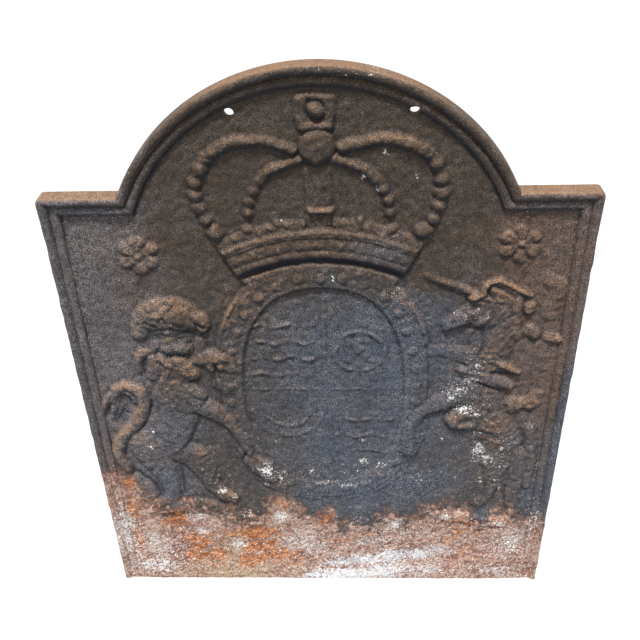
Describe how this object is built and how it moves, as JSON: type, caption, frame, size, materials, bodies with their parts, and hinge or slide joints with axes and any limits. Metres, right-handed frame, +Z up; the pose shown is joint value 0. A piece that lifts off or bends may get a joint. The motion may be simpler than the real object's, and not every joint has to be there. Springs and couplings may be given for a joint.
{
  "type": "fireback",
  "caption": "Arched cast-iron fireback with a moulded edge and a relief of a crown over a belted oval between a lion and a unicorn, with hanging holes near the top.",
  "frame": {"origin": "middle of the standing edge, half way through the overall depth", "axes": "+Z up, +X to the right seen from the front, +Y from the relief side to the flat back"},
  "size_m": [0.6, 0.024, 0.746],
  "materials": {
    "iron": "sand-cast, sooty brown-black, fine pitting, worn lighter on raised edges",
    "edge_iron": "sand-cast, rubbed edges with a thin tan-brown rust bloom",
    "blue_iron": "sand-cast, blue-black from the fire's heat, with pale specks",
    "rust_iron": "sand-cast, burnt scale with orange rust and whitish lime bloom"
  },
  "bodies": {
    "root": {"back_plate": "iron", "left_roll": "iron", "right_roll": "iron", "left_shoulder_roll": "edge_iron", "right_shoulder_roll": "edge_iron", "arch_roll": "edge_iron", "left_bead": "iron", "right_bead": "iron", "left_shoulder_bead": "iron", "right_shoulder_bead": "iron", "arch_bead": "iron", "circlet_lower_roll": "edge_iron", "circlet_band": "iron", "circlet_upper_roll": "edge_iron", "circlet_jewels": "iron", "crown_fleurons": "edge_iron", "crown_left_outer_arch": "edge_iron", "crown_right_outer_arch": "edge_iron", "crown_left_inner_arch": "iron", "crown_right_inner_arch": "iron", "crown_centre_arch": "iron", "crown_orb": "iron", "crown_cross": "iron", "crown_cross_ball": "edge_iron", "garter_left_strap": "blue_iron", "garter_right_strap": "blue_iron", "garter_left_fillet": "iron", "garter_right_fillet": "iron", "garter_studs": "iron", "garter_strap_end": "iron", "arms_quartering": "blue_iron", "arms_upper_charges": "blue_iron", "arms_lower_charges": "blue_iron", "lion_mane": "edge_iron", "lion_face": "edge_iron", "lion_chest_locks": "iron", "lion_body": "blue_iron", "lion_upper_foreleg": "edge_iron", "lion_lower_foreleg": "blue_iron", "lion_near_hind_leg": "blue_iron", "lion_far_hind_leg": "blue_iron", "lion_tail": "edge_iron", "unicorn_horn": "edge_iron", "unicorn_head": "iron", "unicorn_mane": "edge_iron", "unicorn_neck": "iron", "unicorn_body": "iron", "unicorn_raised_foreleg": "blue_iron", "unicorn_long_foreleg": "blue_iron", "unicorn_bent_foreleg": "blue_iron", "unicorn_near_hind_leg": "iron", "unicorn_far_hind_leg": "iron", "unicorn_tail": "iron", "left_ground": "rust_iron", "right_ground": "rust_iron", "left_rosette": "iron", "right_rosette": "iron"}
  },
  "joints": []
}
